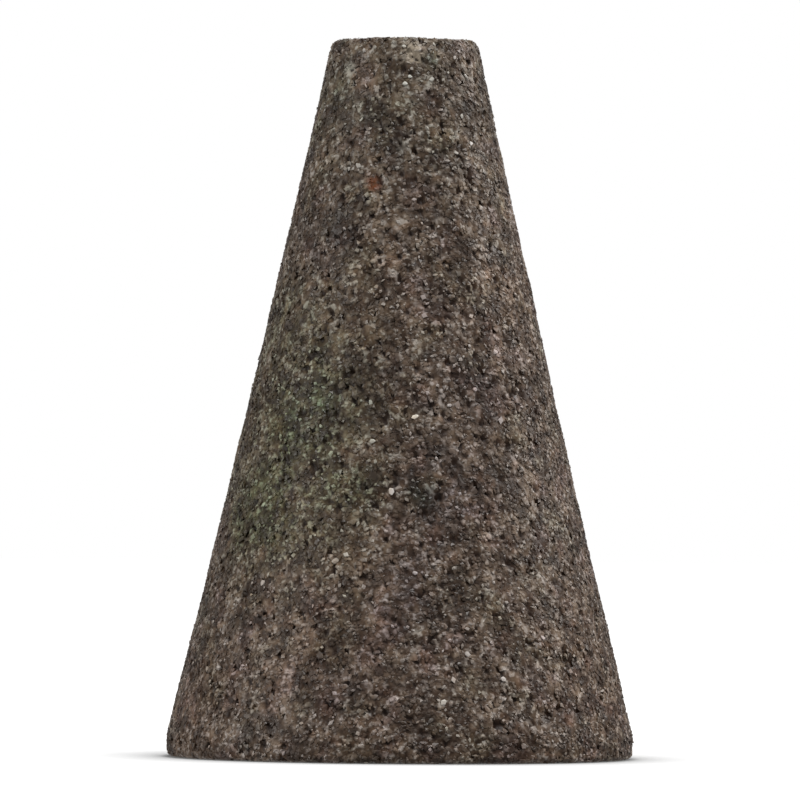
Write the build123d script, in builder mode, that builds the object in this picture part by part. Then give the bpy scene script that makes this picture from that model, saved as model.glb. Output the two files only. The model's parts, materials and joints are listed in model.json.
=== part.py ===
from build123d import *

import os
from math import cos, radians, tan

# A snagging cone for a portable grinder: a cone of coarse bonded abrasive, moulded in one piece
# round a threaded steel bushing. Sizes are in millimetres. The cone stands on its base with the
# tip up. The origin is the middle of the base, and +Z is the axis, towards the tip.

# The cone's outside
base_diameter = 50.0
overall_length = 77.0
tip_diameter = 15.6  # where the side would meet the flat tip if the tip's edge were sharp
land_height = 2.2  # the short upright rim at the foot
land_step = 0.25  # how far that rim stands out from the foot of the side
base_edge_radius = 0.7
tip_edge_radius = 1.0

# The bushing's thread, 5/8-11 UNC to suit a grinder's spindle, tapped in a blind drilled hole
thread_major_diameter = 15.875
thread_pitch = 25.4 / 11
thread_length = 19.0
tap_runout = 2.3  # plain hole past the last full thread
drill_point_angle = 118.0
countersink_clearance = 0.25  # the 90 degree countersink's rim past the thread's major radius

# The bushing's outside, turned from hexagonal bar
bushing_wall = 3.175  # from the thread's major diameter to the bar's flats
end_wall = 2.5  # from the drill's point to the closed end
face_bevel = 0.5  # turned off the bar's corners at the open end
end_bevel = 1.8  # turned off the bar's corners at the closed end
end_bevel_angle = 30.0

# The turned neck, which the bond fills, so that the bushing can't be pulled out
neck_depth = 1.6  # below the bar's flats
neck_length = 6.0
neck_from_face = 10.0

# The shallow relief that keeps the bushing's face off the grinder's flange
relief_depth = 0.3
relief_margin = 1.2  # past the bar's corners

# Radii and heights that follow from those sizes
base_radius = base_diameter / 2
tip_radius = tip_diameter / 2
flats_radius = thread_major_diameter / 2 + bushing_wall
corner_radius = flats_radius / cos(radians(30))
neck_radius = flats_radius - neck_depth
neck_start = relief_depth + neck_from_face
neck_end = neck_start + neck_length
tap_drill_radius = (thread_major_diameter - thread_pitch) / 2
countersink_radius = thread_major_diameter / 2 + countersink_clearance
countersink_end = relief_depth + countersink_radius - tap_drill_radius
drilled_end = relief_depth + thread_length + tap_runout
drill_point = drilled_end + tap_drill_radius / tan(radians(drill_point_angle / 2))
bushing_end = drill_point + end_wall
end_bevel_start = bushing_end - end_bevel * tan(radians(end_bevel_angle))

# The bushing's outside, solid: the hexagonal bar inside its turned outline
with BuildPart() as bushing_outside:
    with BuildSketch(Plane.XY.offset(relief_depth)):
        RegularPolygon(flats_radius, 6, major_radius=False)
    extrude(amount=bushing_end - relief_depth)
    with BuildSketch(Plane.XZ):
        with BuildLine():
            Polyline(
                (0, relief_depth),
                (corner_radius - face_bevel, relief_depth),
                (corner_radius, relief_depth + face_bevel),
                (corner_radius, neck_start),
                (neck_radius, neck_start),
                (neck_radius, neck_end),
                (corner_radius, neck_end),
                (corner_radius, end_bevel_start),
                (corner_radius - end_bevel, bushing_end),
                (0, bushing_end),
                close=True,
            )
        make_face()
    revolve(axis=Axis.Z, mode=Mode.INTERSECT)

# The bushing: that outside with its hole, drawn at the tap drill's size
with BuildPart() as threaded_bushing:
    add(bushing_outside.part)
    with BuildSketch(Plane.XZ):
        with BuildLine():
            Polyline(
                (0, relief_depth),
                (countersink_radius, relief_depth),
                (tap_drill_radius, countersink_end),
                (tap_drill_radius, drilled_end),
                (0, drill_point),
                close=True,
            )
        make_face()
    revolve(axis=Axis.Z, mode=Mode.SUBTRACT)

# The cone: rim, straight side and flat tip, moulded round the bushing's outside
with BuildPart() as abrasive_cone:
    with BuildSketch(Plane.XZ):
        with BuildLine():
            FilletPolyline(
                (0, 0),
                (base_radius, 0),
                (base_radius, land_height - land_step),
                (base_radius - land_step, land_height),
                (tip_radius, overall_length),
                (0, overall_length),
                radius=(0, base_edge_radius, 0, 0, tip_edge_radius, 0),
                close=True,
            )
        make_face()
    revolve(axis=Axis.Z)
    with BuildSketch(Plane.XY):
        Circle(corner_radius + relief_margin)
    extrude(amount=relief_depth, mode=Mode.SUBTRACT)
    add(bushing_outside.part, mode=Mode.SUBTRACT)

os.makedirs("parts", exist_ok=True)
abrasive_cone.part.label = "abrasive_cone"
export_step(abrasive_cone.part, "parts/abrasive_cone.step")
threaded_bushing.part.label = "threaded_bushing"
export_step(threaded_bushing.part, "parts/threaded_bushing.step")
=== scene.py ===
"""The looks of a snagging cone: a cone of coarse grit in a dark resin bond, with a steel bushing.

The bond is one closed skin turned round the axis and roughened. The grit is thousands of small
angular grains set in it, and the bushing is hexagonal bar with its thread cut as a real helix.
Lengths are in metres, in the part's own frame: +Z is the axis, and the cone stands on Z = 0.
"""

import json
import math
from itertools import combinations

import bpy
import numpy as np
from mathutils import Matrix
from mathutils import Vector


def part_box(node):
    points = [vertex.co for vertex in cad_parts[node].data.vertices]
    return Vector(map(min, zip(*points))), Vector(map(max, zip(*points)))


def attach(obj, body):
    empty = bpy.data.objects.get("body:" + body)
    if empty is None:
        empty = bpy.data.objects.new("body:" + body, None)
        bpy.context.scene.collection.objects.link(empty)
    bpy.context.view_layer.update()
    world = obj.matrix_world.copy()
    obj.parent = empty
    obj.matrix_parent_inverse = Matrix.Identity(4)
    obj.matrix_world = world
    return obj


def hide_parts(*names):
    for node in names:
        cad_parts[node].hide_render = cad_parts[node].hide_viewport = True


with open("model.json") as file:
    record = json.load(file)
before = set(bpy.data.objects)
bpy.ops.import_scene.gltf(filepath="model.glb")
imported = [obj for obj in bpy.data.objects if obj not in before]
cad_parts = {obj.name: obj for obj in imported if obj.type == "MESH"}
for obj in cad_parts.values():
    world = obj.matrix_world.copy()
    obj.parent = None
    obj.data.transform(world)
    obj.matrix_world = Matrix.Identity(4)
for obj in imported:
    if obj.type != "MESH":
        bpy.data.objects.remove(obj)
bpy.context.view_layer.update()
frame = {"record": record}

MM = 0.001
TURN = 2 * math.pi

# Sizes read from the frame
cone_low, cone_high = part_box("abrasive_cone")
bushing_low, bushing_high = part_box("threaded_bushing")
mounts = {mount["name"]: mount for mount in frame["record"]["mounts"]}
BASE_RADIUS = (cone_high.x - cone_low.x) / 2
TIP_HEIGHT = cone_high.z
FLATS_RADIUS = (bushing_high.y - bushing_low.y) / 2
CORNER_RADIUS = (bushing_high.x - bushing_low.x) / 2
FACE_HEIGHT = bushing_low.z
BUSHING_END = bushing_high.z
BORE_RADIUS = mounts["spindle_thread"]["dims"]["r_mm"] * MM

# Sizes that the frame doesn't give, as in the part's source
TIP_RADIUS = 7.8 * MM
TIP_EDGE = 1.0 * MM
LAND_HEIGHT = 2.2 * MM
LAND_STEP = 0.25 * MM
BASE_EDGE = 0.7 * MM
RELIEF_MARGIN = 1.2 * MM
FACE_BEVEL = 0.5 * MM
END_BEVEL = 1.8 * MM
END_BEVEL_ANGLE = math.radians(30)
NECK_RADIUS = FLATS_RADIUS - 1.6 * MM
NECK_START = FACE_HEIGHT + 10 * MM
NECK_END = NECK_START + 6 * MM
THREAD_RADIUS = 15.875 / 2 * MM
THREAD_PITCH = 25.4 / 11 * MM
THREAD_END = FACE_HEIGHT + 19 * MM
BORE_END = THREAD_END + 2.3 * MM
COUNTERSINK_RADIUS = THREAD_RADIUS + 0.25 * MM
DRILL_POINT_ANGLE = math.radians(118)

LAND_EDGE = 0.4 * MM  # the rim's edges, which the grit rounds


# Random numbers and noise, alike in every run


def mixed_bits(cells, seed):
    """A number from 0 to 1 for each row of three whole numbers, by mixing their bits."""
    x, y, z = (cells[..., i].astype(np.uint32) for i in range(3))
    bits = x * np.uint32(73856093) ^ y * np.uint32(19349663) ^ z * np.uint32(83492791)
    bits ^= np.uint32(seed * 2654435761 % 2**32)
    for shift, factor in ((16, 0x7FEB352D), (15, 0x846CA68B)):
        bits = (bits ^ (bits >> np.uint32(shift))) * np.uint32(factor)
    return (bits ^ (bits >> np.uint32(16))) / 2.0**32


def soft_noise(points, size, seed):
    """Smooth noise, mostly from -1 to 1: a random slope at each corner of a cubic lattice, and the
    eight slopes round a point blended across its cube."""
    place = points / size
    low = np.floor(place).astype(np.int64)
    part = place - low
    fade = part**3 * (part * (part * 6 - 15) + 10)
    total = 0
    for corner in np.ndindex(2, 2, 2):
        weight = np.prod(np.where(corner, fade, 1 - fade), axis=-1)
        slope = np.stack([mixed_bits(low + corner, 3 * seed + i) for i in range(3)], -1) * 2 - 1
        total = total + weight * (slope * (part - corner)).sum(-1)
    return total * 1.8


def pits(points, size, widest, share, seed):
    """Round hollows: 1 at the middle of a hollow and 0 outside all of them. A share of a lattice's
    cubes hold one each, at a random place in the cube and of a random radius up to widest. The
    share rises and falls from region to region, so that the hollows crowd together."""
    place = points / size
    low = np.floor(place).astype(np.int64)
    deepest = np.zeros(points.shape[:-1])
    for step in np.ndindex(3, 3, 3):
        cube = low + np.array(step) - 1
        middle = cube + np.stack([mixed_bits(cube, seed + i) for i in range(3)], -1)
        away = np.linalg.norm(place - middle, axis=-1) * size
        radius = widest * (0.45 + 0.55 * mixed_bits(cube, seed + 3))
        crowd = share * (0.4 + 1.2 * mixed_bits(cube // 3, seed + 5))
        inside = np.clip(1 - away / radius, 0, 1) * (mixed_bits(cube, seed + 4) < crowd)
        deepest = np.maximum(deepest, inside)
    return deepest


def smooth_step(low, high, value):
    """0 below low, 1 above high, and an S-shaped rise between."""
    part = np.clip((value - low) / (high - low), 0, 1)
    return part * part * (3 - 2 * part)


# The cone's outline and the skin turned from it

EDGE_POINTS = 9
NORMAL_REACH = 0.15 * MM  # half the stretch that the outward direction is averaged over


def rounded(corners):
    """A line of (radius, height) points through corners, each given with its edge's radius. An edge
    that has one is an arc that touches the straight stretches on both sides."""
    line = []
    for index, (radius, height, edge) in enumerate(corners):
        corner = np.array((radius, height))
        if not edge:
            line.append(corner)
            continue
        back = corners[index - 1][:2] - corner
        ahead = corners[index + 1][:2] - corner
        back /= np.linalg.norm(back)
        ahead /= np.linalg.norm(ahead)
        half = math.acos(back @ ahead) / 2
        middle = corner + (back + ahead) / np.linalg.norm(back + ahead) * edge / math.sin(half)
        start, end = (corner + way * edge / math.tan(half) - middle for way in (back, ahead))
        whole = math.pi - 2 * half
        for share in np.linspace(0, 1, EDGE_POINTS):
            spoke = start * math.sin((1 - share) * whole) + end * math.sin(share * whole)
            line.append(middle + spoke / math.sin(whole))
    return np.array(line)


outline = rounded([
    (0, TIP_HEIGHT, 0),
    (TIP_RADIUS, TIP_HEIGHT, TIP_EDGE),
    (BASE_RADIUS - LAND_STEP, LAND_HEIGHT, LAND_EDGE),
    (BASE_RADIUS, LAND_HEIGHT - LAND_STEP, LAND_EDGE),
    (BASE_RADIUS, 0, BASE_EDGE),
    (CORNER_RADIUS + RELIEF_MARGIN, 0, 0),
    (CORNER_RADIUS + RELIEF_MARGIN, FACE_HEIGHT, 0),
    (CORNER_RADIUS, FACE_HEIGHT, 0),
])
outline_steps = np.linalg.norm(np.diff(outline, axis=0), axis=1)
outline_run = np.concatenate([[0], np.cumsum(outline_steps)])
OUTLINE_LENGTH = outline_run[-1]
SIDE_START = np.interp(TIP_RADIUS, outline[:, 0], outline_run)
SIDE_END = outline_run[np.argmax(outline[:, 1] < LAND_HEIGHT - LAND_STEP)]
FOOT_END = outline_run[np.argmax(outline[:, 1] < 1e-9)]
RELIEF_START, RELIEF_END = outline_run[[-3, -1]]


def on_outline(run):
    """(radius, height) at that length along the outline from the middle of the tip."""
    return np.stack([np.interp(run, outline_run, outline[:, i]) for i in range(2)], -1)


def outward(run):
    """The outline's outward direction there, as (radius, height)."""
    along = on_outline(run + NORMAL_REACH) - on_outline(run - NORMAL_REACH)
    across = np.stack([-along[..., 1], along[..., 0]], -1)
    across[..., 0] = np.maximum(across[..., 0], 0)
    return across / np.linalg.norm(across, axis=-1, keepdims=True)


def turned(run, angle, lift=0.0):
    """Points of the skin at that run and angle, each raised along the skin's outward direction."""
    flat = on_outline(run) + outward(run) * np.asarray(lift)[..., None]
    return np.stack([flat[..., 0] * np.cos(angle), flat[..., 0] * np.sin(angle), flat[..., 1]], -1)


# The photograph's frame: its size and the object's place in it, in its own pixels
PICTURE = 800
PIXELS_PER_METRE = 9312  # at the axis
BASE_MIDDLE = (399.7, 757.2)  # the middle of the base
LEAN = math.radians(0.42)  # how far the axis leans to the right
CAMERA_DISTANCE = 0.9
CAMERA_HEIGHT = 0.0257


def at_pixel(x, y):
    """The point on the cone's near side that shows at a pixel of the photograph. A nearer point
    shows larger, and how near it is follows from its place, so the place is worked out twice."""
    nearness = 0.0
    for _ in range(2):
        shrink = 1 - nearness / CAMERA_DISTANCE
        side = (x - BASE_MIDDLE[0]) / PIXELS_PER_METRE * shrink
        up = CAMERA_HEIGHT + ((BASE_MIDDLE[1] - y) / PIXELS_PER_METRE - CAMERA_HEIGHT) * shrink
        height = up * math.cos(LEAN) + side * math.sin(LEAN)
        across = side * math.cos(LEAN) - up * math.sin(LEAN)
        radius = np.interp(-height, -outline[:, 1], outline[:, 0])
        nearness = math.sqrt(max(radius**2 - across**2, 0))
    return across, -nearness, height


# Places on the photograph where the cone has a wide hollow, and each one's radius
HOLLOWS = (
    (497, 725, 0.7 * MM),
    (415, 150, 0.4 * MM),
    (400, 143, 0.35 * MM),
    (353, 83, 0.35 * MM),
    (439, 497, 0.6 * MM),
    (366, 486, 0.35 * MM),
    (286, 439, 0.35 * MM),
    (330, 438, 0.4 * MM),
    (345, 385, 0.35 * MM),
    (513, 395, 0.4 * MM),
    (478, 398, 0.35 * MM),
    (485, 438, 0.45 * MM),
    (531, 613, 0.4 * MM),
    (563, 613, 0.4 * MM),
    (293, 628, 0.35 * MM),
    (247, 650, 0.45 * MM),
    (334, 570, 0.35 * MM),
)

# The mould's wall and the pores
SIDE_BOW = 0.1 * MM  # how far the side bows in at mid height
FOOT_FLARE = 0.42 * MM
FOOT_REACH = 18 * MM
TIP_FLARE = 0.14 * MM
TIP_REACH = 8 * MM
WAVE = 0.09 * MM
WAVE_LENGTH = 4 * MM
PORE_CELL = 1.05 * MM
PORE_RADIUS = 0.55 * MM
PORE_DEPTH = 0.7 * MM
SMALL_PORE = 0.6  # a small pore's size as a share of a large one's


def wall(run, angle):
    """How far the mould's wall lies outside the straight cone. The side bows in and flares again
    towards its foot and its tip, each as exp(-(height / reach)^2) from there. It also has gentle
    waves, which end at the flat base."""
    height = on_outline(run)[..., 1]
    bow = FOOT_FLARE * np.exp(-((height / FOOT_REACH) ** 2)) - SIDE_BOW
    bow += TIP_FLARE * np.exp(-(((TIP_HEIGHT - height) / TIP_REACH) ** 2))
    bow *= smooth_step(0, 1 * MM, run - SIDE_START) * smooth_step(0, 0.5 * MM, SIDE_END - run)
    flat = smooth_step(0, 2 * MM, FOOT_END - run)
    return WAVE * flat * soft_noise(turned(run, angle), WAVE_LENGTH, 41) + bow


def pores(points):
    """The open pores: round hollows of two sizes, and those that stand out on the real cone."""
    large = pits(points, PORE_CELL, PORE_RADIUS, 0.6, 11)
    small = pits(points, SMALL_PORE * PORE_CELL, SMALL_PORE * PORE_RADIUS, 0.48, 21)
    deepest = np.maximum(large, 0.7 * small)
    for x, y, radius in HOLLOWS:
        away = np.linalg.norm(points - at_pixel(x, y), axis=-1)
        deepest = np.maximum(deepest, np.clip(1.5 * (1 - away / radius), 0, 1))
    return deepest


def bond_level(points):
    """How far the bond stands below the mould's wall: level with it where the resin is rich, lower
    elsewhere so that the grains stand out, and deepest in the pores."""
    rich = smooth_step(0.25, 0.6, soft_noise(points, 1.7 * MM, 3))
    rough = 0.5 + 0.35 * soft_noise(points, 0.9 * MM, 1) + 0.1 * soft_noise(points, 0.5 * MM, 2)
    return -(0.04 + 0.2 * rough * (1 - 0.8 * rich)) * MM - PORE_DEPTH * pores(points)


def grid_faces(rows, columns):
    """The four-cornered faces of a grid that closes on itself across its columns."""
    row, column = np.meshgrid(np.arange(rows - 1), np.arange(columns), indexing="ij")
    after = (column + 1) % columns
    corners = [row * columns + column, (row + 1) * columns + column]
    corners += [(row + 1) * columns + after, row * columns + after]
    return np.stack([c.ravel() for c in corners], -1)


def closed_grid(name, grid):
    """A closed mesh of rings of points, capped by a point in the middle of the first ring and of
    the last. Its map lays the rings side by side."""
    rows, columns = grid.shape[:2]
    ends = grid[[0, -1]].mean(axis=1)
    vertices = np.concatenate([grid.reshape(-1, 3), ends])
    column = np.arange(columns)
    after = (column + 1) % columns
    last = (rows - 1) * columns
    start = np.stack([np.full(columns, rows * columns), column, after], -1)
    end = np.stack([np.full(columns, rows * columns + 1), last + after, last + column], -1)
    faces = [*grid_faces(rows, columns).tolist(), *start.tolist(), *end.tolist()]
    mesh = bpy.data.meshes.new(name)
    mesh.from_pydata(vertices, [], faces)
    u, v = column / columns, np.linspace(0.02, 0.98, rows)
    wide = 1 / columns
    row_at, column_at = np.meshgrid(v, u, indexing="ij")
    low, high, left = row_at[:-1], row_at[1:], column_at[:-1]
    right = left + wide
    quads = np.stack([left, low, left, high, right, high, right, low], -1).reshape(-1, 2)
    fan = np.zeros((columns, 3, 2))
    fan[:, :, 0] = u[:, None] + wide * np.array([0.5, 0, 1])
    fan[:, 1:, 1] = v[0]
    fan_end = fan[:, [0, 2, 1]].copy()
    fan_end[:, :, 1] = [1, v[-1], v[-1]]
    places = np.concatenate([quads, fan.reshape(-1, 2), fan_end.reshape(-1, 2)])
    mesh.uv_layers.new(name="OFBake").uv.foreach_set("vector", places.ravel())
    return mesh


def add_piece(mesh, material, slot, *replaced, smooth=True):
    mesh.validate()
    if smooth:
        mesh.shade_smooth()
    mesh.materials.append(material)
    piece = bpy.data.objects.new(mesh.name, mesh)
    bpy.context.scene.collection.objects.link(piece)
    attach(piece, "root")
    if replaced:
        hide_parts(*replaced)


def hexagon(angle):
    """The radius of the bushing's hexagon at an angle: a corner on +X, and flats square to Y."""
    return FLATS_RADIUS / np.cos((angle % (TURN / 6)) - TURN / 12)


def bushing_rings(angle):
    """Rings up the bushing's outside: the smaller of the hexagon and the turned outline."""
    turned_outline = [
        (CORNER_RADIUS - FACE_BEVEL, FACE_HEIGHT),
        (CORNER_RADIUS, FACE_HEIGHT + FACE_BEVEL),
        (CORNER_RADIUS, NECK_START),
        (NECK_RADIUS, NECK_START),
        (NECK_RADIUS, NECK_END),
        (CORNER_RADIUS, NECK_END),
        (CORNER_RADIUS, BUSHING_END - END_BEVEL * math.tan(END_BEVEL_ANGLE)),
        (CORNER_RADIUS - END_BEVEL, BUSHING_END),
    ]
    return [ring(np.minimum(hexagon(angle), r), z, angle) for r, z in turned_outline]


def ring(radius, height, angle):
    """One ring of points round the axis."""
    level = np.full_like(angle, height)
    return np.stack([radius * np.cos(angle), radius * np.sin(angle), level], -1)


# Materials


def rgb(red, green, blue):
    """A colour given as a screen shows it, 0 to 255, as the light that it stands for."""
    return [((c / 255 + 0.055) / 1.055) ** 2.4 for c in (red, green, blue)] + [1.0]


class Value:
    """One output of a material's nodes. Arithmetic on it adds Math nodes."""

    def __init__(self, finish, socket):
        self.finish = finish
        self.socket = socket

    def math(self, operation, *terms):
        """The output of a Math node on these values and numbers."""
        return self.finish.node("ShaderNodeMath", {"operation": operation}, dict(enumerate(terms)))

    def __add__(self, other):
        return self.math("ADD", self, other)

    def __rsub__(self, other):
        return self.math("SUBTRACT", other, self)

    def __mul__(self, other):
        return self.math("MULTIPLY", self, other)

    __radd__ = __add__
    __rmul__ = __mul__


class Finish:
    """A material and the calls that build its nodes."""

    def __init__(self, name):
        self.material = bpy.data.materials.new(name)
        self.material.use_nodes = True
        self.tree = self.material.node_tree
        self.tree.nodes.clear()
        self.place = self.node("ShaderNodeTexCoord", out="Object")

    def node(self, kind, settings=None, values=None, out=0):
        """Adds a node: its settings first, then its sockets' values or links, named or numbered."""
        made = self.tree.nodes.new(kind)
        for key, value in (settings or {}).items():
            if key == "stops":
                self.set_stops(made.color_ramp, value)
            else:
                setattr(made, key, value)
        for key, value in (values or {}).items():
            self.feed(self.found(made.inputs, key), value)
        return Value(self, self.found(made.outputs, out))

    def found(self, sockets, key):
        """The socket of that number, or the one in use of that name."""
        if isinstance(key, int):
            return sockets[key]
        return next(socket for socket in sockets if socket.name == key and socket.enabled)

    def feed(self, socket, value):
        """Links another node's output to a socket, or sets it to a constant."""
        if isinstance(value, Value):
            self.tree.links.new(value.socket, socket)
        else:
            socket.default_value = value

    def set_stops(self, ramp, stops):
        """Gives a colour ramp those stops, each a position and a colour."""
        while len(ramp.elements) < len(stops):
            ramp.elements.new(1.0)
        for element, (position, colour) in zip(ramp.elements, stops):
            element.position = position
            element.color = colour

    def mix(self, factor, a, b, blend="MIX"):
        """A blend of two colours."""
        settings = {"data_type": "RGBA", "blend_type": blend}
        values = {"Factor": factor, "A": a, "B": b}
        return self.node("ShaderNodeMix", settings, values, out="Result")

    def noise(self, size, detail=2.0, rough=0.5):
        """Noise from 0 to 1 whose patches are about size across."""
        values = {"Vector": self.place, "Scale": 1 / size, "Detail": detail, "Roughness": rough}
        return self.node("ShaderNodeTexNoise", {}, values, out="Fac")

    def rise(self, value, low, high):
        """0 below low, 1 above high, and smooth between."""
        settings = {"interpolation_type": "SMOOTHSTEP"}
        values = {"Value": value, "From Min": low, "From Max": high}
        return self.node("ShaderNodeMapRange", settings, values, out="Result")

    def vector(self, operation, *terms, out=0):
        """A calculation on vectors."""
        return self.node("ShaderNodeVectorMath", {"operation": operation}, dict(enumerate(terms)), out)

    def near(self, point, inner, outer):
        """1 within inner of a point and 0 beyond outer."""
        return self.rise(self.vector("DISTANCE", self.place, point, out="Value"), outer, inner)

    def bump(self, strength, distance, height):
        """The surface's direction where the height bends it."""
        values = {"Strength": strength, "Distance": distance, "Height": height}
        return self.node("ShaderNodeBump", {}, values, out="Normal")

    def surface(self, **sockets):
        """Ends the material in a Principled shader with these sockets, spaces written as _."""
        values = {name.replace("_", " "): value for name, value in sockets.items()}
        return self.end_in(self.node("ShaderNodeBsdfPrincipled", {}, values))

    def end_in(self, shader):
        """Ends the material in that shader."""
        out = self.tree.nodes.new("ShaderNodeOutputMaterial")
        self.tree.links.new(shader.socket, out.inputs["Surface"])
        return self.material


# Places on the photograph of small spots of another colour: how far each reaches and its colour
SPOTS = (
    (373, 183, 1.3 * MM, rgb(98, 52, 22)),
    (414, 52, 1.8 * MM, rgb(160, 143, 128)),
    (349, 70, 1.2 * MM, rgb(156, 146, 136)),
)
# Blotches of the resin and slow hues of the whole cone: their size, the noise where each begins
# and is full, and its tint
BLOTCHES = (
    (7.0 * MM, 0.4, 0.6, rgb(236, 233, 231)),
    (4.4 * MM, 0.4, 0.6, rgb(214, 210, 208)),
    (2.6 * MM, 0.4, 0.6, rgb(182, 175, 170)),
    (1.2 * MM, 0.4, 0.6, rgb(188, 180, 174)),
)
HUES = (
    (4.5 * MM, 0.5, 0.7, rgb(250, 253, 242)),
    (3.5 * MM, 0.5, 0.7, rgb(252, 243, 248)),
    (1.7 * MM, 0.55, 0.72, rgb(255, 244, 236)),
)
# Places on the photograph where the cone is stained: how far each stain reaches and its tint
STAINS = (
    (390, 90, 22 * MM, rgb(244, 252, 248)),
    (275, 420, 24 * MM, rgb(243, 253, 236)),
    (285, 520, 14 * MM, rgb(250, 253, 238)),
    (300, 415, 7.5 * MM, rgb(230, 254, 238)),
    (257, 508, 9 * MM, rgb(220, 240, 224)),
    (345, 385, 8 * MM, rgb(242, 253, 246)),
    (285, 325, 9 * MM, rgb(240, 251, 242)),
    (345, 485, 7 * MM, rgb(240, 252, 243)),
    (325, 100, 7 * MM, rgb(242, 251, 247)),
    (422, 492, 2.6 * MM, rgb(206, 236, 224)),
    (430, 60, 1.6 * MM, rgb(206, 222, 216)),
    (510, 310, 9 * MM, rgb(255, 247, 239)),
    (590, 680, 14 * MM, rgb(255, 248, 240)),
    (300, 655, 9 * MM, rgb(255, 247, 241)),
    (195, 700, 10 * MM, rgb(255, 247, 243)),
    (440, 480, 8 * MM, rgb(232, 229, 238)),
    (420, 590, 8 * MM, rgb(234, 231, 240)),
    (400, 390, 8 * MM, rgb(236, 233, 241)),
    (480, 400, 6 * MM, rgb(222, 219, 224)),
    (345, 690, 6 * MM, rgb(226, 224, 230)),
    (400, 150, 5 * MM, rgb(228, 226, 228)),
    (325, 235, 6 * MM, rgb(228, 226, 230)),
)


def tinted(finish, colour, share, tint):
    """The colour, and where share is 1 the colour multiplied by the tint."""
    return finish.mix(share, colour, finish.mix(1.0, colour, tint, "MULTIPLY"))


def resin(finish, thin=0.0):
    """The resin that coats the grains and fills between them: brown, finely mottled, darker in
    blotches of four sizes, and paler where it is thin."""
    mottle = finish.rise(finish.noise(0.52 * MM, 1.0, 0.5), 0.3, 0.7)
    colour = finish.mix(mottle, rgb(100, 82, 65), rgb(131, 114, 98))
    colour = finish.mix(thin, colour, rgb(142, 128, 115))
    for size, low, high, tint in BLOTCHES:
        blotch = finish.rise(finish.noise(size, 2.0, 0.6), low, high)
        colour = tinted(finish, colour, blotch, tint)
    return colour


def with_painted_glints(finish, colour):
    """Painted glints: pale specks that stand for light glinting off the coated grains, which crowd
    together.
    """
    crowd = 1 - 0.85 * finish.rise(finish.noise(2.6 * MM, 2.0, 0.6), 0.4, 0.6)
    glint = finish.rise(finish.noise(0.62 * MM, 1.0, 0.5), 0.5, 0.72)
    return finish.mix(crowd * glint, colour, rgb(158, 148, 140))


def stained(finish, colour):
    """Slow changes of hue over the whole cone, and the stains that the real one has."""
    for size, low, high, tint in HUES:
        patch = finish.rise(finish.noise(size, 1.0), low, high)
        colour = tinted(finish, colour, patch, tint)
    patchy = 0.6 + 0.4 * finish.rise(finish.noise(2.5 * MM, 2.0), 0.3, 0.6)
    broken = finish.rise(finish.noise(0.7 * MM, 2.0), 0.3, 0.55)
    for x, y, reach, spot in SPOTS:
        near = finish.near(at_pixel(x, y), 0.3 * reach, reach)
        colour = finish.mix(near * broken, colour, spot)
    for x, y, reach, tint in STAINS:
        near = finish.near(at_pixel(x, y), 0.1 * reach, reach)
        colour = tinted(finish, colour, near * patchy, tint)
    return colour


def grit_material():
    """Grains under a coat of resin, or bare and pale, as their grain attribute says: from 0 to 0.7
    darker to lighter coats, and above that bare grains from dull to bright."""
    finish = Finish("coated_grit")
    grain = finish.node("ShaderNodeAttribute", {"attribute_name": "grain"}, out="Fac")
    coated = resin(finish, 0.7 * grain)
    stops = [(0.75, rgb(112, 101, 92)), (0.95, rgb(158, 149, 142)), (1.0, rgb(224, 218, 212))]
    bare = finish.node("ShaderNodeValToRGB", {"stops": stops}, {"Fac": grain}, out="Color")
    # the coated grains carry painted glints, and the bare grains keep their own pale colour
    colour = finish.mix(finish.rise(grain, 0.7, 0.76), with_painted_glints(finish, coated), bare)
    rough = 0.55 - 0.3 * finish.noise(0.6 * MM)
    bump = finish.bump(0.12, 0.06 * MM, finish.noise(0.4 * MM, 1.0))
    colour = stained(finish, colour)
    return finish.surface(Base_Color=colour, Roughness=rough, Normal=bump, Specular_IOR_Level=0.4)


def bond_material():
    """The resin bond, with painted glints and a fine grainy bump, and painted shade that makes it dark
    in the pores and paler at the mould's wall.
    """
    finish = Finish("resin_bond")
    depth = finish.node("ShaderNodeAttribute", {"attribute_name": "depth"}, out="Fac")
    # painted glints on the resin
    colour = with_painted_glints(finish, resin(finish))
    # painted shade: the deeper the bond lies, the nearer its colour comes to near black
    colour = finish.mix(finish.rise(depth, 0.1, 0.8), colour, rgb(40, 25, 15))
    bump = finish.bump(0.55, 0.18 * MM, finish.noise(0.5 * MM, 1.5, 0.5))
    rough = 0.6 - 0.3 * finish.noise(0.6 * MM)
    colour = stained(finish, colour)
    return finish.surface(Base_Color=colour, Roughness=rough, Normal=bump, Specular_IOR_Level=0.2)


def steel_material():
    """Machined steel, a little dulled: rings left by the turning tool round the axis, which change
    with the distance from it alone, and faint stains."""
    finish = Finish("machined_steel")
    flat = finish.vector("MULTIPLY", finish.place, (1, 1, 0))
    radius = finish.vector("LENGTH", flat, out="Value")
    sizes = {"W": radius, "Scale": 1 / (0.16 * MM), "Detail": 2.0}
    rings = finish.node("ShaderNodeTexNoise", {"noise_dimensions": "1D"}, sizes, "Fac")
    blot = finish.noise(3 * MM, 3.0, 0.6)
    colour = finish.mix(finish.rise(blot, 0.35, 0.7), rgb(192, 189, 184), rgb(160, 154, 145))
    rust = finish.rise(finish.noise(1.3 * MM, 3.0, 0.6), 0.62, 0.8)
    colour = finish.mix(0.5 * rust, colour, rgb(112, 86, 64))
    colour = finish.mix(0.6 * finish.rise(rings, 0.5, 0.7), colour, rgb(112, 108, 102))
    rough = 0.2 + 0.15 * blot + 0.2 * rings
    bump = finish.bump(0.6, 0.05 * MM, rings)
    return finish.surface(Base_Color=colour, Metallic=1.0, Roughness=rough, Normal=bump)


# The bond: one closed skin, outside and seat

SKIN_COLUMNS = 480
SKIN_STEP = 0.5 * MM
FULL_SHADE_DEPTH = 0.6 * MM  # below this the bond's painted shade is darkest
SMOOTH_END = 1.2 * MM  # round the bushing's face the skin is as smooth as the solid


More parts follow.
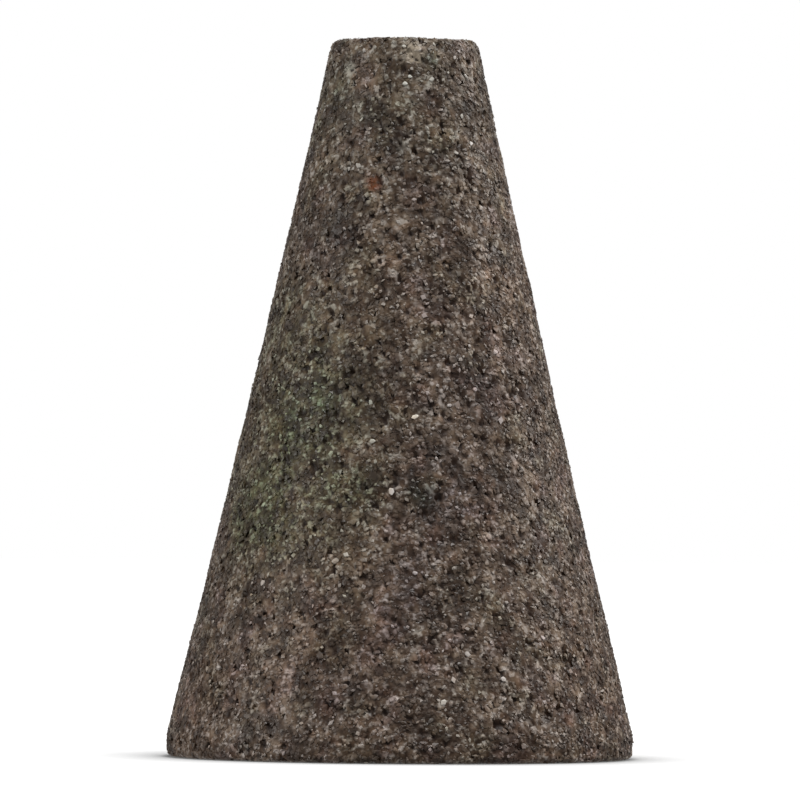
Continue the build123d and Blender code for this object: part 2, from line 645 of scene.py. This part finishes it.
def make_bond(material):
    """The skin's outside is the outline turned and lowered by bond_level, and its inside is the
    bushing's hexagon and neck, so that it closes round the bushing as the cast bond does. Two of its
    rings lie at the two corners of the relief's step."""
    angle = np.arange(SKIN_COLUMNS) * TURN / SKIN_COLUMNS
    run = np.linspace(0, OUTLINE_LENGTH, int(OUTLINE_LENGTH / SKIN_STEP))[1:]
    step = np.array([RELIEF_START, RELIEF_START + FACE_HEIGHT])
    run[np.abs(run - step[:, None]).argmin(axis=1)] = step
    runs, angles = np.meshgrid(run, angle, indexing="ij")
    fade = smooth_step(0, 0.6 * MM, OUTLINE_LENGTH - SMOOTH_END - runs)
    level = bond_level(turned(runs, angles)) * fade
    skin = turned(runs, angles, level + wall(runs, angles))
    mesh = closed_grid("abrasive_bond", np.concatenate([skin, np.stack(bushing_rings(angle))]))
    # how deep each point lies, which sets the bond's painted shade
    depth = np.zeros(len(mesh.vertices), np.float32)
    depth[: runs.size] = (-level / FULL_SHADE_DEPTH).ravel()
    mesh.attributes.new("depth", "FLOAT", "POINT").data.foreach_set("value", depth)
    add_piece(mesh, material, "bonded_abrasive", "abrasive_cone")


# The grit

GOLDEN_RATIO = (1 + math.sqrt(5)) / 2
GOLDEN_ANGLE = math.pi * (3 - math.sqrt(5))
COARSE_PIECES = 2
COARSE_GRAINS = 10800
FINE_PIECES = 2
FINE_GRAINS = 24800
GRAIN_TILT = 0.08  # the spread of the wall's tilt from grain to grain, in radians
SOFTNESS = 0.06 * MM  # how softly the wall flattens a grain


def icosahedron():
    """Twelve corners and twenty faces, from three golden rectangles."""
    corners = np.array([(a, b * GOLDEN_RATIO, 0) for b in (1, -1) for a in (-1, 1)], float)
    corners = np.concatenate([corners, np.roll(corners, 1, axis=1), np.roll(corners, 2, axis=1)])
    return outward_hull(corners / np.linalg.norm(corners[0]))


def octahedron():
    """Six corners and eight faces."""
    return outward_hull(np.concatenate([np.eye(3), -np.eye(3)]))


def outward_hull(corners):
    """(corners, faces) of a regular solid of triangles: its faces join corners one edge apart, in
    the order that makes them face outwards."""
    gap = np.linalg.norm(corners[:, None] - corners[None], axis=-1)
    edge = gap[gap > 1e-9].min() * 1.001
    faces = []
    for a, b, c in combinations(range(len(corners)), 3):
        if max(gap[a, b], gap[b, c], gap[a, c]) < edge:
            normal = np.cross(corners[b] - corners[a], corners[c] - corners[a])
            faces.append((a, b, c) if normal @ corners[a] > 0 else (a, c, b))
    return corners, np.array(faces)


def random_turns(rng, count):
    """Random rotations, as matrices, from random quaternions."""
    w, x, y, z = rng.normal(size=(count, 4)).T
    size = np.sqrt(w * w + x * x + y * y + z * z)
    w, x, y, z = w / size, x / size, y / size, z / size
    return np.stack([
        1 - 2 * (y * y + z * z), 2 * (x * y - w * z), 2 * (x * z + w * y),
        2 * (x * y + w * z), 1 - 2 * (x * x + z * z), 2 * (y * z - w * x),
        2 * (x * z - w * y), 2 * (y * z + w * x), 1 - 2 * (x * x + y * y),
    ], -1).reshape(-1, 3, 3)


def spread_evenly(rng, count, spacing_share, end):
    """(run, angle) of points spread evenly over the skin as far as the run end, as a sunflower's
    seeds are: equal areas by the outline's radius, a golden angle apart. Each is then moved at
    random, by up to that share of the points' spacing."""
    fine = np.linspace(0, end, 4000)
    radius = on_outline(fine)[:, 0]
    area = np.concatenate([[0], np.cumsum((radius[1:] + radius[:-1]) / 2 * np.diff(fine))])
    place = (np.arange(count) + 0.5) / count
    run = np.interp(place * area[-1], area, fine)
    angle = np.arange(count) * GOLDEN_ANGLE
    move = math.sqrt(area[-1] * TURN / count) * spacing_share
    run = np.clip(run + rng.uniform(-1, 1, count) * move, 0, end)
    angle = angle + rng.uniform(-1, 1, count) * move / np.maximum(on_outline(run)[:, 0], move)
    return run, angle % TURN


def make_grit(name, solid, run, angle, shade, width, top, pressed, rng, material):
    """Grains: the solid's corners pulled in and out, stretched, turned, and pressed against the
    mould's wall by a share of the grain's width. The wall, at the height top, tilts a few degrees
    from grain to grain. It flattens a grain without cutting it: the height z becomes the smooth
    minimum -s ln(exp(-z / s) + exp(-wall / s))."""
    corners, faces = solid
    count = len(run)
    shape = corners * rng.uniform(0.7, 1.25, (count, len(corners), 1))
    shape = shape * rng.uniform(0.5, 1.3, (count, 1, 3))
    shape = np.einsum("nij,nkj->nki", random_turns(rng, count), shape) * width[:, None, None] / 2
    tilt = rng.normal(0, GRAIN_TILT, (count, 2))
    flush = top[:, None] + (shape[:, :, :2] * tilt[:, None]).sum(-1)
    high = shape[:, :, 2].max(1)
    height = shape[:, :, 2] + (top - high + pressed * width)[:, None]
    shape[:, :, 2] = flush - SOFTNESS * np.logaddexp(0, (flush - height) / SOFTNESS)
    middle = turned(run, angle, wall(run, angle))
    across, up = outward(run).T
    out = np.stack([across * np.cos(angle), across * np.sin(angle), up], -1)
    around = np.stack([-np.sin(angle), np.cos(angle), np.zeros(count)], -1)
    axes = np.stack([around, np.cross(out, around), out], 1)
    vertices = middle[:, None] + np.einsum("nka,nai->nki", shape, axes)
    vertices[:, :, 2] = np.maximum(vertices[:, :, 2], 0)
    every = (np.arange(count)[:, None, None] * len(corners) + faces).reshape(-1, 3)
    mesh = bpy.data.meshes.new(name)
    mesh.from_pydata(vertices.reshape(-1, 3), [], every.tolist())
    grain = np.repeat(shade, len(corners)).astype(np.float32)
    mesh.attributes.new("grain", "FLOAT", "POINT").data.foreach_set("value", grain)
    lay_out(mesh, corners, faces, count)
    add_piece(mesh, material, "bonded_abrasive", smooth=False)


def lay_out(mesh, corners, faces, count):
    """The map: each grain has a square of its own, and shows in it as seen along one direction."""
    across = math.ceil(math.sqrt(count))
    seen = corners @ np.array([(0.82, 0.3), (-0.5, 0.8), (0.28, -0.52)]) * 0.42 + 0.5
    cell = np.arange(count)
    low = np.stack([cell % across, cell // across], -1)
    places = (low[:, None, None] + seen[faces][None]) / across
    mesh.uv_layers.new(name="OFBake").uv.foreach_set("vector", places.ravel())


# Places on the photograph where a pale grain stands out, each one's width and its shade
PALE_GRAINS = (
    (415, 416, 0.85 * MM, 1.0),
    (391, 491, 1.1 * MM, 0.98),
    (404, 46, 0.6 * MM, 0.975),
    (418, 49, 0.7 * MM, 0.975),
    (411, 54, 0.6 * MM, 0.96),
    (434, 44, 0.5 * MM, 0.955),
    (455, 57, 0.5 * MM, 0.955),
    (364, 50, 0.5 * MM, 0.955),
    (410, 76, 0.6 * MM, 0.98),
    (405, 83, 0.6 * MM, 0.965),
    (432, 79, 0.6 * MM, 0.96),
    (466, 76, 0.6 * MM, 0.955),
    (361, 119, 0.5 * MM, 0.955),
    (472, 143, 0.6 * MM, 0.975),
    (457, 152, 0.7 * MM, 0.955),
    (358, 165, 0.7 * MM, 0.95),
    (348, 168, 0.7 * MM, 0.95),
    (497, 351, 0.6 * MM, 0.965),
    (543, 351, 0.6 * MM, 0.965),
    (475, 389, 0.6 * MM, 0.975),
    (450, 405, 0.6 * MM, 0.965),
    (370, 402, 0.6 * MM, 0.96),
    (372, 441, 0.6 * MM, 0.96),
    (320, 426, 0.7 * MM, 0.95),
    (331, 453, 0.7 * MM, 0.95),
    (298, 379, 0.6 * MM, 0.955),
    (263, 583, 0.7 * MM, 0.965),
    (335, 561, 0.7 * MM, 0.96),
    (443, 703, 0.8 * MM, 0.96),
    (542, 638, 0.7 * MM, 0.965),
    (503, 680, 0.7 * MM, 0.96),
    (467, 654, 0.7 * MM, 0.96),
    (415, 573, 0.7 * MM, 0.96),
    (219, 667, 0.7 * MM, 0.955),
)


def scatter_grit(material):
    """Coarse grains, which the coat hides, and fine ones, of which many are bare and pale and stand
    at the mould's wall. The bare ones crowd together. The pieces of each size interleave."""
    rng = np.random.default_rng(7)
    run, angle = spread_evenly(rng, COARSE_PIECES * COARSE_GRAINS, 0.45, RELIEF_START - 0.2 * MM)
    for index in range(COARSE_PIECES):
        every = slice(index, None, COARSE_PIECES)
        shade = rng.uniform(0.0, 0.7, COARSE_GRAINS)
        width = rng.uniform(0.45, 1.0, COARSE_GRAINS) * MM
        top = -np.abs(rng.normal(0, 0.05, COARSE_GRAINS)) * MM
        pressed = rng.uniform(0, 0.3, COARSE_GRAINS)
        grains = with_room(run[every], angle[every], shade, width, top, pressed)
        make_grit(f"coarse_grit_{index + 1}", icosahedron(), *grains, rng, material)
    run, angle = spread_evenly(rng, FINE_PIECES * FINE_GRAINS, 0.6, RELIEF_END - 0.5 * MM)
    for index in range(FINE_PIECES):
        every = slice(index, None, FINE_PIECES)
        flush = turned(run[every], angle[every])
        crowd = soft_noise(flush, 2.2 * MM, 31) + 0.6 * soft_noise(flush, 1.0 * MM, 32)
        bare = rng.uniform(0, 1, FINE_GRAINS) < 0.02 + 0.14 * smooth_step(-0.4, 0.5, crowd)
        bright = 0.76 + 0.2 * rng.uniform(0, 1, FINE_GRAINS) ** 1.5
        shade = np.where(bare, bright, rng.uniform(0, 0.6, FINE_GRAINS))
        small = rng.uniform(0.34, 0.62, FINE_GRAINS)
        width = np.where(bare, small, rng.uniform(0.34, 0.72, FINE_GRAINS)) * MM
        top = np.where(bare, 0.02, -np.abs(rng.normal(0, 0.045, FINE_GRAINS))) * MM
        flat = rng.uniform(0.25, 0.45, FINE_GRAINS)
        pressed = np.where(bare, flat, rng.uniform(0.05, 0.35, FINE_GRAINS))
        grains = with_room(run[every], angle[every], shade, width, top, pressed)
        make_grit(f"fine_grit_{index + 1}", octahedron(), *grains, rng, material)


def with_room(run, angle, *others):
    """Those grains that fill no open pore and lie on no grain that stands out."""
    flush = turned(run, angle)
    free = pores(flush) < 0.15
    for x, y, width, _ in PALE_GRAINS:
        free &= np.linalg.norm(flush - at_pixel(x, y), axis=-1) > 0.55 * width
    return [values[free] for values in (run, angle, *others)]


def set_pale_grains(material):
    """The bare, pale grains that stand out on the real cone, just above the mould's wall."""
    rng = np.random.default_rng(8)
    count = len(PALE_GRAINS)
    places = np.array([at_pixel(x, y) for x, y, _, _ in PALE_GRAINS])
    run = np.interp(-places[:, 2], -outline[:, 1], outline_run)
    angle = np.arctan2(places[:, 1], places[:, 0])
    width, shade = np.array(PALE_GRAINS)[:, 2:].T
    top = np.full(count, 0.05 * MM)
    pressed = np.full(count, 0.3)
    make_grit("pale_grit", icosahedron(), run, angle, shade, width, top, pressed, rng, material)


# The bushing

THREAD_COLUMNS = 144
ROWS_PER_PITCH = 22
EDGE_SOFTENING = 0.06  # the thread's edges are rounded over this share of its pitch, either way
POINT_RADIUS = 0.02 * MM  # the last ring in the drill's point


def thread_radius(height, angle):
    """The tapped hole's radius: flat crests at the tap drill's radius, flat roots at the major
    radius and flanks between, following the angle up the axis as a right-hand helix. It is the mean
    over a short stretch of height, which rounds the edges."""
    shifts = np.linspace(-EDGE_SOFTENING, EDGE_SOFTENING, 7)
    wave = 0
    for shift in shifts:
        turn = (height / THREAD_PITCH - angle / TURN + shift) % 1
        wave = wave + np.clip(np.abs(turn * 2 - 1) * 1.6 - 0.2, 0, 1) / len(shifts)
    return BORE_RADIUS + (THREAD_RADIUS - BORE_RADIUS) * wave


def make_bushing(material):
    """The hexagonal outside, the face, the threaded hole and the drill's point, as one closed skin.
    The countersink narrows at 45 degrees from the face until the thread is wider."""
    angle = np.arange(THREAD_COLUMNS) * TURN / THREAD_COLUMNS
    rows = int((BORE_END - FACE_HEIGHT) / THREAD_PITCH * ROWS_PER_PITCH)
    height, around = np.meshgrid(np.linspace(FACE_HEIGHT, BORE_END, rows), angle, indexing="ij")
    fade = 1 - smooth_step(THREAD_END - 0.5 * THREAD_PITCH, THREAD_END, height)
    radius = BORE_RADIUS + (thread_radius(height, around) - BORE_RADIUS) * fade
    radius = np.maximum(radius, COUNTERSINK_RADIUS - (height - FACE_HEIGHT))
    bore = np.stack([radius * np.cos(around), radius * np.sin(around), height], -1)
    outside = np.stack(bushing_rings(angle))[::-1]
    point = ring(POINT_RADIUS, BORE_END + BORE_RADIUS / math.tan(DRILL_POINT_ANGLE / 2), angle)
    mesh = closed_grid("tapped_bushing", np.concatenate([outside, bore, point[None]]))
    add_piece(mesh, material, "bushing_steel", "threaded_bushing")
    mesh.set_sharp_from_angle(angle=math.radians(30))


# The stage

ROOM_LIGHT = 0.375  # how strongly the surroundings light the cone, where 1 is how they look
FLOOR_REACH = 4.0
FLOOR_GAP = 0.02 * MM  # below the base, so that the floor doesn't show through it
# how far round the cone the floor's painted shadow reaches
SHADE_REACH = 45 * MM
SENSOR_WIDTH = 36  # in millimetres, as the lens is


def make_floor():
    """A wide floor under the cone that glows white, with a painted shadow: it glows less where the
    cone hides the sky. It casts no light back up, and is clear when seen from below, so that the base
    shows."""
    finish = Finish("pale_floor")
    sizes = {"Distance": SHADE_REACH}
    open_sky = finish.node("ShaderNodeAmbientOcclusion", {"samples": 32}, sizes, out="AO")
    # painted shadow: the glow falls where the cone hides the sky
    glow = 0.1 + 0.85 * finish.rise(open_sky, 0.5, 0.97)
    values = {
        "Base Color": rgb(120, 120, 120),
        "Emission Color": rgb(255, 255, 255),
        "Emission Strength": glow,
        "Roughness": 0.9,
    }
    shader = finish.node("ShaderNodeBsdfPrincipled", {}, values)
    clear = finish.node("ShaderNodeBsdfTransparent")
    below = finish.node("ShaderNodeNewGeometry", out="Backfacing")
    finish.end_in(finish.node("ShaderNodeMixShader", {}, {0: below, 1: shader, 2: clear}))
    signs = ((-1, -1), (1, -1), (1, 1), (-1, 1))
    corners = [(x * FLOOR_REACH, y * FLOOR_REACH, -FLOOR_GAP) for x, y in signs]
    mesh = bpy.data.meshes.new("floor")
    mesh.from_pydata(corners, [], [(0, 1, 2, 3)])
    mesh.materials.append(finish.material)
    floor = bpy.data.objects.new("floor", mesh)
    floor.visible_diffuse = False
    floor.visible_glossy = False
    bpy.context.scene.collection.objects.link(floor)


def add_light(name, place, width, power, colour=(1, 1, 1)):
    """A square soft light that faces the middle of the cone."""
    light = bpy.data.lights.new(name, "AREA")
    light.size = width
    light.energy = power
    light.color = colour
    lamp = bpy.data.objects.new(name, light)
    lamp.location = place
    middle = Vector((0, 0, TIP_HEIGHT / 2))
    lamp.rotation_euler = (middle - lamp.location).to_track_quat("-Z", "Y").to_euler()
    bpy.context.scene.collection.objects.link(lamp)


def white_room(scene):
    """Surroundings that look white and light the cone more weakly than they look."""
    world = bpy.data.worlds.new("white_room")
    world.use_nodes = True
    nodes = world.node_tree.nodes
    back = nodes["Background"]
    back.inputs["Color"].default_value = (1, 1, 1, 1)
    seen = nodes.new("ShaderNodeLightPath").outputs["Is Camera Ray"]
    strength = nodes.new("ShaderNodeMapRange")
    strength.inputs["To Min"].default_value = ROOM_LIGHT
    strength.inputs["To Max"].default_value = 1.0
    world.node_tree.links.new(seen, strength.inputs["Value"])
    world.node_tree.links.new(strength.outputs["Result"], back.inputs["Strength"])
    scene.world = world


def set_stage():
    """White surroundings, soft lights above and on all sides, and the photograph's camera."""
    scene = bpy.context.scene
    scene.view_settings.view_transform = "Standard"
    white_room(scene)
    add_light("key", (0.62, 0.1, 0.42), 0.35, 2.75, (1.0, 0.98, 0.95))
    add_light("fill", (-0.6, -0.24, 0.2), 0.35, 1.65, (1.0, 0.99, 0.97))
    add_light("back", (0.1, 0.7, 0.4), 0.4, 1)
    add_light("top", (0.2, -0.38, 0.85), 0.5, 7.2)
    data = bpy.data.cameras.new("camera")
    data.sensor_width = SENSOR_WIDTH
    data.lens = SENSOR_WIDTH * PIXELS_PER_METRE * CAMERA_DISTANCE / PICTURE
    data.clip_end = 20
    camera = bpy.data.objects.new("camera", data)
    side = (PICTURE / 2 - BASE_MIDDLE[0]) / PIXELS_PER_METRE
    up = (BASE_MIDDLE[1] - PICTURE / 2) / PIXELS_PER_METRE
    across = side * math.cos(LEAN) - up * math.sin(LEAN)
    height = up * math.cos(LEAN) + side * math.sin(LEAN)
    aim = Vector((across, 0, height))
    camera.location = (0, -CAMERA_DISTANCE, CAMERA_HEIGHT)
    look = (aim - camera.location).to_track_quat("-Z", "Y").to_matrix()
    camera.rotation_euler = (look @ Matrix.Rotation(LEAN, 3, "Z")).to_euler()
    scene.collection.objects.link(camera)
    scene.camera = camera


grit = grit_material()
make_bond(bond_material())
scatter_grit(grit)
set_pale_grains(grit)
make_bushing(steel_material())
make_floor()
set_stage()
